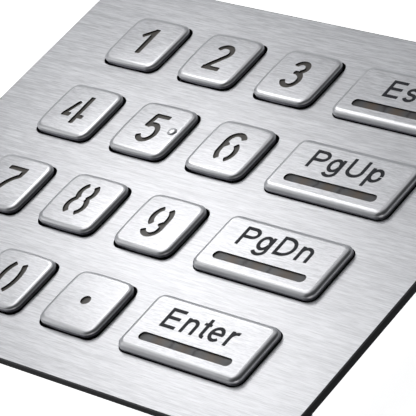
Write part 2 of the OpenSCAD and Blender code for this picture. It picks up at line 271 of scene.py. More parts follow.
def within(points, loop):
    """Whether each point is inside a closed loop: a level line to its right crosses the loop an odd number
    of times."""
    (x, y), ahead = points.T[:, :, None], np.roll(loop, -1, axis=0)
    low, high = loop[:, 1] <= y, ahead[:, 1] <= y
    rise = np.where(ahead[:, 1] == loop[:, 1], 1, ahead[:, 1] - loop[:, 1])
    crossing = loop[:, 0] + (y - loop[:, 1]) / rise * (ahead[:, 0] - loop[:, 0])
    return ((low != high) & (crossing > x)).sum(-1) % 2 == 1


def cover(outer, holes=(), spots=()):
    """Triangles inside the outer loop: (points, triangles, whether each triangle is in one of the holes)."""
    loops = [outer, *holes]
    count = np.cumsum([0] + [len(loop) for loop in loops])
    points = np.concatenate([*loops, spots]) if len(spots) else np.concatenate(loops)
    edges = [(a + i, a + (i + 1) % (b - a)) for a, b in zip(count, count[1:]) for i in range(b - a)]
    made = geometry.delaunay_2d_cdt([Vector(p) for p in points], edges, [], 0, 1e-5)
    points, triangles = np.array([tuple(p) for p in made[0]]), np.array(made[2])
    middle = points[triangles].mean(1)
    kept = within(middle, outer)
    in_hole = np.any([np.zeros(len(kept), bool), *(within(middle, hole) for hole in holes)], axis=0)
    return points, triangles[kept], in_hole[kept]


def roll(across, down, steps=7, guard=0.04):
    """(inset, drop) pairs of a rolled edge: a quarter ellipse from the flat face to the upright wall, with
    one more pair just before and just after it so that the shading of flat and wall stays flat."""
    angle = np.linspace(0, math.pi / 2, steps + 1)
    inset, drop = across * (1 - np.sin(angle)), down * (1 - np.cos(angle))
    return [(across + guard, 0.0), *zip(inset, drop), (0.0, down + guard)]


def solid(name, parts, materials, body, replaces=(), smooth=35):
    """A mesh object from (points in mm, faces, material number or nothing for 0) parts: joined, facing
    outwards and riding on body. Edges sharper than smooth degrees stay sharp."""
    start, points, faces, numbers = 0, [], [], []
    for part_points, part_faces, *number in parts:
        points.append(np.asarray(part_points, float))
        faces += (np.asarray(part_faces) + start).tolist()
        numbers += (number or [0]) * len(part_faces)
        start += len(part_points)
    mesh = bpy.data.meshes.new(name)
    mesh.from_pydata(np.concatenate(points) / 1000, [], faces)
    mesh.polygons.foreach_set("material_index", numbers)
    work = bmesh.new()
    work.from_mesh(mesh)
    bmesh.ops.remove_doubles(work, verts=work.verts, dist=2e-6)
    bmesh.ops.recalc_face_normals(work, faces=work.faces)
    work.to_mesh(mesh)
    work.free()
    for material in materials:
        mesh.materials.append(material)
    mesh.shade_smooth()
    mesh.set_sharp_from_angle(angle=math.radians(smooth))
    piece = bpy.data.objects.new(name, mesh)
    bpy.context.scene.collection.objects.link(piece)
    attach(piece, body)
    if replaces:
        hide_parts(*replaces)
    return piece


def brushed(name, dark, light, roughness, depth, hairs_per_m):
    """Brushed steel: streaks along X, from hair lines to broad bands, in colour, roughness and relief.
    hairs_per_m is how many hair lines make up a metre, end to end."""
    material, make, link = finish(name, Metallic=1.0)
    hair = noise(make, (hairs_per_m, 5200, 5200), 3, 0.7)
    line = noise(make, (hairs_per_m * 0.45, 2400, 2400), 2, 0.65, (0.3, 0.1, 0))
    band = noise(make, (30, 420, 420), 2, 0.5, (0.7, 0.2, 0))
    streak = hair * 0.5 + line * 0.38 + band * 0.12
    link(
        Base_Color=streak.clip(0.34, 0.66).tint((*dark, 1), (*light, 1)),
        Roughness=streak * 0.22 + (roughness - 0.11),
        Normal=relief(make, hair * 0.6 + line * 0.4, depth),
    )
    return material


def painted_shade_edge(name, colour, roughness, **constants):
    """Edge of steel sheet, laser cut or rolled: its dark colour is painted shade, with fine upright draw
    lines and a little mottle.
    """
    material, make, link = finish(name, **constants)
    line = noise(make, (2600, 2600, 90), 2, 0.6)
    patch = noise(make, (160, 160, 160), 3, 0.5)
    # the colour passed in is painted shade; these are its darker and lighter tones
    dark, light = ((*(c * shade for c in colour), 1) for shade in (0.6, 1.3))
    link(
        Base_Color=(line * 0.5 + patch * 0.5).clip(0.25, 0.75).tint(dark, light),
        Roughness=patch * 0.2 + roughness,
        Normal=relief(make, line, 0.000012),
    )
    return material


plate_steel = brushed("brushed_plate_steel", (0.56, 0.56, 0.575), (0.83, 0.83, 0.85), 0.42, 0.000003, 300)
# the plate's cut side, aperture walls and rolled rim are coloured near black: painted shade
plate_edge_shade = painted_shade_edge("dark_plate_side_painted_shade", (0.004, 0.004, 0.005), 0.5, Specular_IOR_Level=0.08)
plate_rim_shade = painted_shade_edge("dark_rolled_rim_painted_shade", (0.05, 0.05, 0.055), 0.35, Metallic=0.8)

keys = [["1", "2", "3", "esc"], ["4", "5", "6", "pgup"], ["7", "8", "9", "pgdn"],
        ["minus", "0", "point", "enter"]]
flange_w = 1.1


def key_place(name):
    """(centre x, centre y, width, height) in mm of a key's top, from its flanged foot in the frame."""
    low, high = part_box("keycap_" + name)
    middle, size = (low + high) * 500, (high - low) * 1000
    return middle.x, middle.y, size.x - 2 * flange_w, size.y - 2 * flange_w


places = {name: key_place(name) for row in keys for name in row}


def aperture(name, grow):
    """Outline of a key's aperture in the plate, grown by grow all round."""
    x, y, w, h = places[name]
    swell = key_gap + grow
    return ring(w + 2 * swell, h + 2 * swell, key_r + swell) + (x, y)


def plate_parts():
    """Top and back faces with their holes, the rolled outer rim and each aperture's rolled lip."""
    back_break = 0.1

    def outline(inset):
        return ring(plate_w - 2 * inset, plate_h - 2 * inset, plate_r - inset)

    rim = [lift(outline(i), plate_t - d) for i, d in roll(edge_roll, edge_roll)]
    side = [lift(outline(0), back_break), lift(outline(back_break), 0)]
    lips = [[lift(aperture(name, i), plate_t - d) for i, d in roll(lip_roll, lip_roll, 4)] for name in places]
    parts = [(*skin(rim), 2), (*skin([rim[-1], *side]), 1)]
    parts += [skin(lip) for lip in lips]
    parts += [(*skin([lip[-1], lift(lip[-1][:, :2], 0)]), 1) for lip in lips]
    for outer, end, z in ((rim[0], 0, plate_t), (side[-1], -1, 0)):
        points, triangles, inside = cover(outer[:, :2], [lip[end][:, :2] for lip in lips])
        parts.append((lift(points, z), triangles[~inside]))
    return parts


solid("plate", plate_parts(), [plate_steel, plate_edge_shade, plate_rim_shade], housing, ["front_plate"])

# ------------------------------
# Keycaps: solid stainless keys with a foot flange, a slightly crowned brushed top and a
# polished rounded rim. Legends of the number keys are cut right through; the function keys
# have a slot for a light bar and a printed word. The clear resin guides fill the cuts.
# ------------------------------
key_top = plate_t + 1.5
flange_top, flange_z = -0.1, -1.1
flange_break = 0.1
roof_t = 1.2
cap_wall = 1.4
fill_sunk = 0.3
fill_gap = 0.05
ink_t = 0.025
stroke = 1.2
ink_stroke = 0.76
# the raised dot that marks the middle key by touch, right of its digit: (radius, height over the key's top)
pip_at = (5.05, 0.25)
pip_section = [(0, 0.3), (0.45, 0.29), (0.68, 0.25), (0.85, 0.16), (0.95, 0.05), (1, -0.04), (1, -0.2),
               (0, -0.2)]


def arc(cx, cy, rx, ry, start, end, steps=18):
    """Points of an elliptical arc between two angles in degrees."""
    angle = np.radians(np.linspace(start, end, steps + 1))
    return np.stack([cx + rx * np.cos(angle), cy + ry * np.sin(angle)], -1)


def pen(path, width=stroke, soft=0.28):
    """Outline of a stroke of even width along a path: the path moved half a width to each side, with
    ends whose corners are quarter circles of radius soft."""
    path = np.array(path, float)
    step = np.gradient(path, axis=0) if len(path) > 2 else np.repeat(path[1:] - path[:1], 2, axis=0)
    step /= np.linalg.norm(step, axis=1)[:, None]
    across = np.stack([-step[:, 1], step[:, 0]], -1) * width / 2
    corner = np.radians(np.linspace(90, 0, 5))[:, None]
    flat = width / 2 - soft

    def end(point, along):
        left = np.array([-along[1], along[0]])
        point = point - along * soft
        first = point + left * (flat + soft * np.sin(corner)) + along * soft * np.cos(corner)
        last = point - left * (flat + soft * np.sin(corner[::-1])) + along * soft * np.cos(corner[::-1])
        return np.concatenate([first, last])

    inner = slice(1, -1)
    return np.concatenate([(path + across)[inner], end(path[-1], step[-1]),
                           (path - across)[inner][::-1], end(path[0], -step[0])])


def bowl(cx, cy, rx, ry, opening):
    """Two facing brackets: the halves of a bowl with a bridge above and below."""
    return [pen(arc(cx, cy, rx, ry, 90 + opening, 270 - opening)),
            pen(arc(cx, cy, rx, ry, 90 - opening, opening - 90))]


six = [
    pen(np.concatenate([arc(0.1, 1.6, 1.85, 2.05, 25, 180), arc(0.2, -0.9, 1.95, 2.75, 184, 243, 8)])),
    pen([(-1.55, 0.05), (-0.65, 0.95)], 1),
    pen(arc(0.2, -1.3, 1.9, 2.4, 64, -64)),
]
cut_legends = {
    "1": [pen([(0.4, -3.8), (0.4, 3.85)], 1.3), pen([(-1.95, 1.15), (0.15, 3.2)], 1.1)],
    "2": [pen(np.concatenate([arc(-0.1, 1.65, 1.75, 1.65, 165, -35), [(-1.45, -3)]])),
          pen([(-2.2, -3.25), (2.2, -3.25)], 1.1)],
    "3": [pen(arc(-0.45, 2.15, 1.45, 1.35, 172, -75)), pen([(-1.2, 0.6), (-0.1, 0.6)], 1),
          pen(arc(-0.45, -1.4, 1.75, 1.95, 88, -165))],
    "4": [pen([(0.95, -4.1), (0.95, 3.95)]), pen([(0.95, -1.9), (2.7, -1.9)], 1.1),
          pen([(-0.95, 2.1), (-2.5, -1.9)], 1.05), pen([(-3, -1.9), (-0.75, -1.9)], 1.1)],
    "5": [pen([(-1.75, 3.4), (2.1, 3.4)], 1.1), pen([(-1.25, 3.6), (-1.7, 0.05)]),
          pen(arc(-0.1, -1.35, 1.85, 2.3, 138, -155))],
    "6": six,
    "7": [pen([(-2.6, 3.4), (2.35, 3.4)], 1.1),
          pen(np.concatenate([[(1.8, 3.4)], arc(4.6, -4, 5.5, 6.6, 122, 178)]))],
    "8": bowl(-0.35, 2.25, 1.75, 2.1, 30) + bowl(-0.35, -1.45, 2.05, 2.25, 28),
    "9": [(-0.25, 0.1) - outline for outline in six],
    "0": bowl(0.15, 0.1, 1.95, 4.15, 31),
    "point": [arc(-0.05, 0.1, 1.08, 1.08, 0, 350, 35)],
    "minus": [pen([(-2.2, 0), (2.2, 0)])],
}
slot_outline = ring(21.7, 2, 0.999, 8) + (-0.1, -3.55)


def ink(path, width=ink_stroke):
    """A printed stroke, with nearly square ends."""
    return pen(path, width, 0.1)


def letter(name, x, y):
    """Outlines of one printed letter, its left edge at x and its foot at y."""
    s = ink_stroke / 2
    cap, low, tail = 4.8 - s, 3.7 - s, -1.4
    shapes = {
        "E": [ink([(s, 0), (s, 4.8)]), ink([(0, s), (3.55, s)]), ink([(0, 2.5), (3.3, 2.5)]),
              ink([(0, cap), (3.5, cap)])],
        "P": [ink([(s, 0), (s, 4.8)]),
              ink(np.concatenate([[(0, cap)], arc(2.15, 3.35, 1.3, cap - 3.35, 90, -90), [(0, 2.3)]]))],
        "D": [ink([(s, 0), (s, 4.8)]),
              ink(np.concatenate([[(0, cap)], arc(1.6, 2.4, 2.1, cap - 2.4, 90, -90), [(0, s)]]))],
        "U": [ink(np.concatenate([[(s, 4.8)], arc(2.0, 1.75, 1.62, 1.75 - s, 180, 360), [(3.62, 4.8)]]))],
        "s": [ink(np.concatenate([arc(1.35, 2.6, 0.95, low - 2.6, 20, 245, 12),
                                  arc(1.45, 1.05, 1.05, 0.85, 68, -165, 12)]))],
        "c": [ink(arc(1.6, 1.85, 1.25, low - 1.85, 45, 315))],
        "g": [ink(arc(1.5, 1.85, 1.15, low - 1.85, 0, 354, 40)),
              ink(np.concatenate([[(2.85, 3.65)], arc(1.5, 0.1, 1.35, tail + s - 0.1, 0, 158, 14)]))],
        "p": [ink([(s, 3.65), (s, tail)]), ink(arc(1.7, 1.85, 1.2, low - 1.85, 0, 354, 40))],
        "n": [ink([(s, 0), (s, 3.65)]),
              ink(np.concatenate([arc(1.55, 2.2, 1.15, low - 2.2, 170, 0, 14), [(2.7, 0)]]))],
        "t": [ink(np.concatenate([[(0.95, 4.75)], arc(1.6, 0.95, 0.65, 0.95 - s, 180, 285, 8)])),
              ink([(0, 3.35), (1.7, 3.35)], 0.65)],
        "e": [ink([(0.3, 1.95), (3.1, 1.95)], 0.65), ink(arc(1.6, 1.85, 1.25, low - 1.85, 0, 318))],
        "r": [ink([(s, 0), (s, 3.65)]), ink(arc(1.65, 2.0, 1.25, low - 2.0, 172, 78, 8))],
    }
    return [outline + (x, y) for outline in shapes[name]]


# each word's letters, with the place of each one's foot from the middle of its key
words = {
    "esc": [("E", -6.2, -0.5), ("s", -1.7, -0.5), ("c", 1.55, -0.5)],
    "pgup": [("P", -8.8, 0), ("g", -4.3, 0), ("U", 0.05, 0), ("p", 5.1, 0)],
    "pgdn": [("P", -8.8, 0), ("g", -4.3, 0), ("D", 0.05, 0), ("n", 5.1, 0)],
    "enter": [("E", -8.9, -0.45), ("n", -4.25, -0.45), ("t", -0.4, -0.45), ("e", 1.85, -0.45),
              ("r", 6, -0.45)],
}


def borders(triangles, chosen):
    """Edges of the triangles that aren't chosen, where the triangle across the edge is chosen."""
    edges = np.stack([triangles, np.roll(triangles, -1, axis=1)], -1)
    owner = {tuple(edge): chosen[t] for t, three in enumerate(edges) for edge in three.tolist()}
    found = [edge for edge, mine in owner.items() if not mine and owner.get(edge[::-1])]
    return np.array(found).reshape(-1, 2)


def curtain(points, edges, top, foot):
    """Upright quads hung from edges of a plan, between the heights of its points top and foot."""
    ends = points[edges].reshape(-1, 2)
    upper = lift(ends, np.broadcast_to(top, len(points))[edges].ravel())
    lower = lift(ends, np.broadcast_to(foot, len(points))[edges].ravel())
    here = np.arange(len(edges)) * 2
    quads = np.stack([here, here + 1, here + 1 + len(ends), here + len(ends)], -1)
    return np.concatenate([upper, lower]), quads


def cap_shape(name):
    """What differs between the two kinds of key: (crown, bulge of the sides, inset and drop of the rim)."""
    return (0, 0, 1.25, 0.95) if name in words else (0.1, 0.22, 1.0, 0.6)


def cuts(name):
    """Outlines of what is cut through a key's top: a function key's slot or a number key's legend."""
    outlines = [slot_outline] if name in words else cut_legends[name]
    return [outline + places[name][:2] for outline in outlines]


def cap_outline(name, inset):
    """Outline of a key's wall, moved inwards by inset."""
    x, y, w, h = places[name]
    bulge = cap_shape(name)[1]
    return ring(w - 2 * (bulge + inset), h - 2 * (bulge + inset), key_r - inset, 10, 7, bulge) + (x, y)


def cap_top(name, points):
    """Height of a key's top: it falls off from the middle as the squares of the place across and along."""
    x, y, w, h = places[name]
    return key_top - cap_shape(name)[0] * (((points - (x, y)) / (w / 2, h / 2)) ** 2).sum(-1)


def circle(radius, at=(0, 0), sides=32):
    """Points evenly round a circle, anticlockwise."""
    angle = np.linspace(0, 2 * math.pi, sides, endpoint=False)
    return radius * np.stack([np.cos(angle), np.sin(angle)], -1) + at


def turned(profile, at=(0, 0), sides=32):
    """Surface of revolution about an upright line through at, from (radius, height) pairs."""
    return skin([lift(circle(radius, at, sides), height) for radius, height in profile])


def cap_parts(name):
    """Crowned top with its cuts, rolled rim, wall, foot flange, hollow and the walls of the cuts."""
    x, y, w, h = places[name]
    crown, bulge, across, down = cap_shape(name)
    shell = []
    for inset, drop in roll(across, down):
        outline = cap_outline(name, inset)
        shell.append(lift(outline, cap_top(name, outline) - drop))
    wall = cap_outline(name, 0)
    flange, edge = [ring(w + 2 * grow, h + 2 * grow, key_r, 10, 7) + (x, y)
                    for grow in (flange_w - flange_break, flange_w)]
    hollow = ring(w - 2 * cap_wall, h - 2 * cap_wall, 1, 10, 7) + (x, y)
    ceiling = key_top - roof_t
    foot = [lift(wall, flange_top + flange_break), lift(wall, flange_top), lift(flange, flange_top),
            lift(edge, flange_top - flange_break), lift(edge, flange_z), lift(hollow, flange_z),
            lift(hollow, ceiling)]
    spacing, margin = 1.1, across + 0.5
    columns, rows = (np.arange(-size / 2, size / 2, spacing) for size in (w, h))
    grid = np.stack(np.meshgrid(columns, rows), -1).reshape(-1, 2)
    inner = grid[(np.abs(grid) < (w / 2 - margin, h / 2 - margin)).all(-1)] + (x, y)
    points, triangles, open_cut = cover(shell[0][:, :2], cuts(name), inner if crown else ())
    edges = borders(triangles, open_cut)
    below, below_triangles, below_open = cover(hollow, cuts(name))
    pip = turned([(r, key_top + z) for r, z in pip_section], (x + pip_at[0], y + pip_at[1]), 40)
    return [(*pip, 1)] * (name == "5") + [
        (lift(points, cap_top(name, points)), triangles[~open_cut], 0),
        (*skin(shell), 1),
        (*skin([shell[-1], *foot]), 2),
        (*curtain(points, edges, cap_top(name, points), ceiling), 3),
        (lift(below, ceiling), below_triangles[~below_open], 2),
    ]


def guide_parts(name):
    """Block in the key's hollow, with the fill of the cuts standing up to just below the key's top."""
    x, y, w, h = places[name]
    hollow = cap_wall + fill_gap
    block_top = key_top - roof_t - fill_gap
    low, high = [lift(ring(w - 2 * hollow, h - 2 * hollow, 0.9) + (x, y), z) for z in (flange_z, block_top)]
    points, triangles, fill = cover(high[:, :2], cuts(name))
    base, base_triangles, _ = cover(low[:, :2])
    return [
        skin([high, low]),
        (lift(base, flange_z), base_triangles),
        (lift(points, block_top), triangles[~fill]),
        (lift(points, key_top - fill_sunk), triangles[fill]),
        curtain(points, borders(triangles, fill), key_top - fill_sunk, block_top),
    ]


def print_parts(name):
    """Printed word as a thin layer on the key: its upper and lower faces and the edge between them."""
    x, y, w, h = places[name]
    letters = [outline + (x, y) for one in words[name] for outline in letter(*one)]
    points, triangles, inked = cover(cap_outline(name, 1), letters)
    upper, lower = key_top + ink_t, key_top - ink_t
    return [
        (lift(points, upper), triangles[inked]),
        (lift(points, lower), triangles[inked][:, ::-1]),
        curtain(points, borders(triangles, inked), upper, lower),
    ]


key_steel = brushed("brushed_key_steel", (0.54, 0.54, 0.555), (0.8, 0.8, 0.82), 0.4, 0.000003, 600)
rim_steel, make, link = finish("polished_rim", Metallic=1.0)
link(Base_Color=noise(make, (700, 700, 700), 3).tint((0.66, 0.66, 0.675, 1), (0.74, 0.74, 0.755, 1)),
     Roughness=noise(make, (900, 900, 900), 2) * 0.06 + 0.29)
# key walls, flange and hollow get a much darker steel colour than the top: painted shade
dark_wall_painted_shade, make, link = finish("key_wall_painted_shade", Metallic=1.0)
link(Base_Color=noise(make, (700, 700, 200), 3).tint((0.2, 0.2, 0.225, 1), (0.3, 0.3, 0.33, 1)),
     Roughness=noise(make, (900, 900, 900), 2) * 0.1 + 0.2)
# the upright walls of the cut legends are coloured near black: painted shade
legend_wall_shade = painted_shade_edge("legend_wall_painted_shade", (0.014, 0.013, 0.012), 0.5, Specular_IOR_Level=0.2)
resin, make, link = finish("smoked_resin", Specular_IOR_Level=0.4)
link(Base_Color=noise(make, (300, 300, 300), 3).tint((0.085, 0.074, 0.062, 1), (0.155, 0.138, 0.12, 1)),
     Roughness=noise(make, (500, 500, 500), 2) * 0.2 + 0.25)

# a function key's bar is three lenses end to end, amber in the middle and grey towards their joints
bar_left, bar_length = places["enter"][0] - 11, 22
grey, amber, joint = (0.15, 0.15, 0.156), (0.2, 0.15, 0.108), (0.065, 0.062, 0.062)
bar_stops = [(0, joint), (0.1, grey), (0.2, amber), (0.31, grey), (0.336, joint), (0.36, grey),
             (0.473, amber), (0.58, grey), (0.602, joint), (0.63, grey), (0.786, amber), (0.93, grey),
             (1, joint)]
bar_resin, make, link = finish("smoked_resin_bar", Specular_IOR_Level=0.4)
along = make.node("ShaderNodeSeparateXYZ", _0=place(make, (1000 / bar_length, 1, 1), (bar_left / 1000, 0, 0)))
cloud = noise(make, (500, 700, 500), 3) * 0.1 - 0.05
bands = make.node("ShaderNodeValToRGB", {"stops": bar_stops}, _0=along + cloud)
link(Base_Color=bands, Roughness=noise(make, (500, 500, 500), 2) * 0.2 + 0.25)
ink_black, make, link = finish("legend_ink", Specular_IOR_Level=0.3)
link(Base_Color=noise(make, (2500, 2500, 2500), 2).tint((0.012, 0.013, 0.02, 1), (0.022, 0.023, 0.032, 1)),
     Roughness=noise(make, (1500, 1500, 1500), 2) * 0.2 + 0.4)

for name in places:
    key = "key_" + name
    solid(key + "_cap", cap_parts(name), [key_steel, rim_steel, dark_wall_painted_shade, legend_wall_shade], key,
          ["keycap_" + name])
    solid(key + "_light", guide_parts(name), [bar_resin if name in words else resin], key,
          ["light_guide_" + name])
    if name in words:
        solid(key + "_word", print_parts(name), [ink_black], key, ())

# ------------------------------
# Studs welded to the back of the plate: four M3 ones at the corners, which hold the keypad in
# its panel, and nine M2 ones between the keys, which carry the stack. Steel, rolled threads.
# ------------------------------
mat_z, board_top, board_z = -3.1, -3.8, -5.4
stud_x, stud_y, stud_r, stud_low = 53, 36, 1.5, -7
stack_columns, stack_rows, stack_low, stack_thread_top = (-27.35, -7.35, 12.65), (-22.2, 0, 22.2), -8, -5
m3_pitch, m3_thread, m2_pitch, m2_thread = 0.5, 0.28, 0.4, 0.2
stud_at = [(x, y) for x in (-stud_x, stud_x) for y in (-stud_y, stud_y)]
stack_at = [(x, y) for x in stack_columns for y in stack_rows]


def threaded(at, radius, low, high, pitch, depth, steps=8, sides=24):
    """A thread from low up to high: the radius drops by depth in a triangle wave of the turns climbed less
    the turn round the stud. Its lower end is chamfered, and both ends are closed."""
    height = np.linspace(low, high, round((high - low) / pitch * steps) + 1)
    turn = np.linspace(0, 1, sides, endpoint=False)
    wave = np.abs(2 * ((height[:, None] / pitch - turn) % 1) - 1)
    reach = np.minimum(radius - depth * wave, radius - 1.3 * depth + height[:, None] - low)
    rings = [lift(circle(1, (0, 0), sides) * r[:, None] + at, z) for r, z in zip(reach, height)]
    return skin([lift(circle(0, at, sides), low), *rings, lift(circle(0, at, sides), high)])


def plated(name, dark, light, roughness, cloud=300, fine=4000, depth=0.000003):
    """Bright or satin metal: cloudy patches and fine marks in colour, roughness and relief."""
    material, make, link = finish(name, Metallic=1.0)
    patch, mark = noise(make, (cloud, cloud, cloud), 3), noise(make, (fine, fine, fine), 2)
    link(
        Base_Color=(patch * 0.7 + mark * 0.3).clip(0.3, 0.7).tint((*dark, 1), (*light, 1)),
        Roughness=patch * 0.16 + mark * 0.08 + (roughness - 0.12),
        Normal=relief(make, mark, depth),
    )
    return material


stud_steel = plated("turned_stud_steel", (0.42, 0.42, 0.43), (0.6, 0.6, 0.61), 0.34)
panel_studs = [threaded(at, stud_r, stud_low, 0, m3_pitch, m3_thread) for at in stud_at]
solid("panel_studs_threaded", panel_studs, [stud_steel], housing, ["panel_studs"])
shank_section = [(0, -5.05), (0.92, -5.05), (0.92, 0), (0, 0)]
stack_parts = [threaded(at, 1, stack_low, stack_thread_top, m2_pitch, m2_thread) for at in stack_at]
stack_parts += [turned(shank_section, at) for at in stack_at]
solid("stack_studs_threaded", stack_parts, [stud_steel], housing, ["stack_studs"])

# ------------------------------
# Panel gasket: die-cut ring of black closed-cell foam rubber between the plate and the panel,
# with room round the studs for their spacers.
# ------------------------------


def around(width, height, radius, way=-1):
    """Rounded outline as a function of how far it is moved into the material: inwards, or outwards for a
    hole, where way is 1."""
    return lambda inset: ring(width + 2 * way * inset, height + 2 * way * inset, radius + way * inset)


def bore(radius, at, way=1):
    """A round outline as a function of how far it is moved into the material, where way is -1 for a disc."""
    return lambda inset: circle(radius + way * inset, at)


def pressed(outlines, low, high, edge, wall=0):
    """A sheet between two heights: the first outline is the outside, the rest are holes, and the corners of
    its section are quarter circles of radius edge. The walls take the material number wall."""
    rolled = roll(edge, edge, 3, edge / 4)
    profile = [(i, high - d) for i, d in rolled] + [(i, low + d) for i, d in rolled[::-1]]
    walls = [[lift(outline(i), z) for i, z in profile] for outline in outlines]
    parts = [(*skin(rings), wall) for rings in walls]
    for end in (0, -1):
        points, triangles, inside = cover(walls[0][end][:, :2], [rings[end][:, :2] for rings in walls[1:]])
        parts.append((lift(points, walls[0][end][0, 2]), triangles[~inside], 0))
    return parts


def moulded(name, dark, light, roughness, grain=1200, depth=0.000012, **constants):
    """Moulded plastic or rubber: fine sparked grain over slow patches, in colour, roughness and relief."""
    material, make, link = finish(name, **constants)
    fine, slow = noise(make, (grain, grain, grain), 2, 0.6), noise(make, (120, 120, 120), 3)
    link(
        Base_Color=(fine * 0.5 + slow * 0.5).clip(0.3, 0.7).tint((*dark, 1), (*light, 1)),
        Roughness=fine * 0.14 + slow * 0.1 + (roughness - 0.12),
        Normal=relief(make, fine, depth),
    )
    return material


gasket_low, gasket_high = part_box("panel_gasket")
guide_low, guide_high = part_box("key_guide")
gasket_w, gasket_h = (gasket_high - gasket_low).x * 1000, (gasket_high - gasket_low).y * 1000
guide_w, guide_h = (guide_high - guide_low).x * 1000, (guide_high - guide_low).y * 1000
foam, make, link = finish("gasket_foam", Specular_IOR_Level=0.08)
cell = make.node("ShaderNodeTexVoronoi", Vector=place(make), Scale=2600.0)
link(Base_Color=cell.clip(0.1, 0.7).tint((0.003, 0.003, 0.004, 1), (0.014, 0.014, 0.016, 1)),
     Roughness=cell * 0.15 + 0.75, Normal=relief(make, cell, 0.00008))
gasket_gap, stud_room, gasket_z, gasket_top = 0.4, 1.3, -1, -0.01
gasket_lines = [around(gasket_w, gasket_h, 2),
                around(guide_w + 2 * gasket_gap, guide_h + 2 * gasket_gap, 1, 1),
                *(bore(stud_r + stud_room, at) for at in stud_at)]
solid("panel_gasket_foam", pressed(gasket_lines, gasket_z, gasket_top, 0.12), [foam], housing,
      ["panel_gasket"])

# ------------------------------
# Key guide: black moulded frame behind the plate. Its windows take the key flanges, its skirt
# boxes in the mat and the board, and its corner bosses take the cover's screws.
# ------------------------------
boss, skirt_wall = 5, 1.2
window_gap, stack_bore, screw_depth = 0.3, 1.2, 2
screw_x, screw_y = 45.2, 41.15
screw_at = [(x, y) for x in (-screw_x, screw_x) for y in (-screw_y, screw_y)]


def notched(half_w, half_h, notch_x, notch_y):
    """Rectangle whose corners are cut out square, as a function of inset: every edge moves inwards by it."""
    def outline(inset):
        x, y, u, v = half_w - inset, half_h - inset, notch_x - inset, notch_y - inset
        return np.array([(x, v), (u, v), (u, y), (-u, y), (-u, v), (-x, v),
                         (-x, -v), (-u, -v), (-u, -y), (u, -y), (u, -v), (x, -v)])
    return outline


def inside_skirt(side_gap, corner_gap):
    """Notched outline inside the guide's skirt and corner bosses, with a gap to each."""
    skirt, corner = skirt_wall + side_gap, boss + corner_gap
    return notched(guide_w / 2 - skirt, guide_h / 2 - skirt, guide_w / 2 - corner, guide_h / 2 - corner)


def guide_frame():
    """Outer wall with rounded edges, notched inside of the skirt, windows, stud holes and screw holes."""
    rolled = roll(0.3, 0.3, 4)
    shell = [(i, -d) for i, d in rolled] + [(i, board_z + d) for i, d in rolled[::-1]]
    outer = [lift(ring(guide_w - 2 * i, guide_h - 2 * i, 1 - i), z) for i, z in shell]
    inner = inside_skirt(0, 0)(0)
    room = 2 * (flange_w + window_gap)
    windows = [ring(w + room, h + room, key_r) + (x, y) for x, y, w, h in places.values()]
    windows += [circle(stack_bore, at) for at in stack_at]
    holes = [circle(1, at) for at in screw_at]
    parts = [skin(outer), skin([lift(inner, board_z), lift(inner, mat_z)])]
    parts += [skin([lift(window, 0), lift(window, mat_z)]) for window in windows]
    pilot = [(1, board_z), (1, board_z + screw_depth), (0, board_z + screw_depth)]
    parts += [turned(pilot, at) for at in screw_at]
    for loop, cut, z in ((outer[0][:, :2], windows, 0), (inner, windows, mat_z),
                         (outer[-1][:, :2], [inner, *holes], board_z)):
        points, triangles, inside = cover(loop, cut)
        parts.append((lift(points, z), triangles[~inside]))
    return parts


guide_plastic = moulded("moulded_guide", (0.014, 0.014, 0.016), (0.03, 0.03, 0.034), 0.5,
                        Specular_IOR_Level=0.4)
solid("key_guide_frame", guide_frame(), [guide_plastic], housing, ["key_guide"])

# ------------------------------
# Silicone mat: a moulded sheet on the board, with a hollow dome under each square key and two
# under each wide one. A carbon pill under each dome's roof closes the contact on the board.
# ------------------------------
dome_r, dome_top_r, dome_bore, dome_wall, dome_h, wide_dome_x = 4.6, 3, 3.8, 0.6, 2, 8
pill_r, pill_t, pill_break = 1.7, 1, 0.1
board_line = inside_skirt(0.1, 0.2)


def dome_spots(name):
    """Centres of the domes under a key."""
    x, y, w, h = places[name]
    return [(x - wide_dome_x, y), (x + wide_dome_x, y)] if name in words else [(x, y)]


spots = [at for name in places for at in dome_spots(name)]
silicone = moulded("milky_silicone", (0.62, 0.62, 0.6), (0.74, 0.74, 0.72), 0.5, 500, 0.000006,
                   Subsurface_Weight=0.15, Subsurface_Scale=0.002)
mat_lines = [board_line, *(bore(dome_bore, at) for at in spots), *(bore(stack_bore, at) for at in stack_at)]
solid("silicone_mat_sheet", pressed(mat_lines, board_top, mat_z, 0.08), [silicone], housing, ["silicone_mat"])

dome_section = [(0, dome_h), (2.7, dome_h), (2.93, dome_h - 0.08), (dome_top_r, dome_h - 0.25),
                (3.2, dome_h - 0.5), (3.55, 1.15), (4.1, 0.55), (4.45, 0.2), (dome_r, 0), (dome_bore, 0),
                (3.3, 0.5), (2.75, 1.05), (2.4, dome_h - dome_wall), (0, dome_h - dome_wall)]
carbon = moulded("carbon_pill", (0.01, 0.01, 0.011), (0.028, 0.028, 0.03), 0.62, 2500, 0.00001)
pill_top = flange_z - dome_wall
pill_z, pill_face = pill_top - pill_t, pill_r - pill_break
pill_section = [(0, pill_top), (pill_face, pill_top), (pill_r, pill_top - pill_break),
                (pill_r, pill_z + pill_break), (pill_face, pill_z), (0, pill_z)]
for name in places:
    key = "key_" + name
    domes = [turned([(r, mat_z + z) for r, z in dome_section], at, 48) for at in dome_spots(name)]
    dome = solid(key + "_dome", domes, [silicone], housing, ["mat_domes"])
    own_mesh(dome)
    pills = [turned(pill_section, at) for at in dome_spots(name)]
    solid(key + "_pill", pills, [carbon], key, ["contact_pills"])


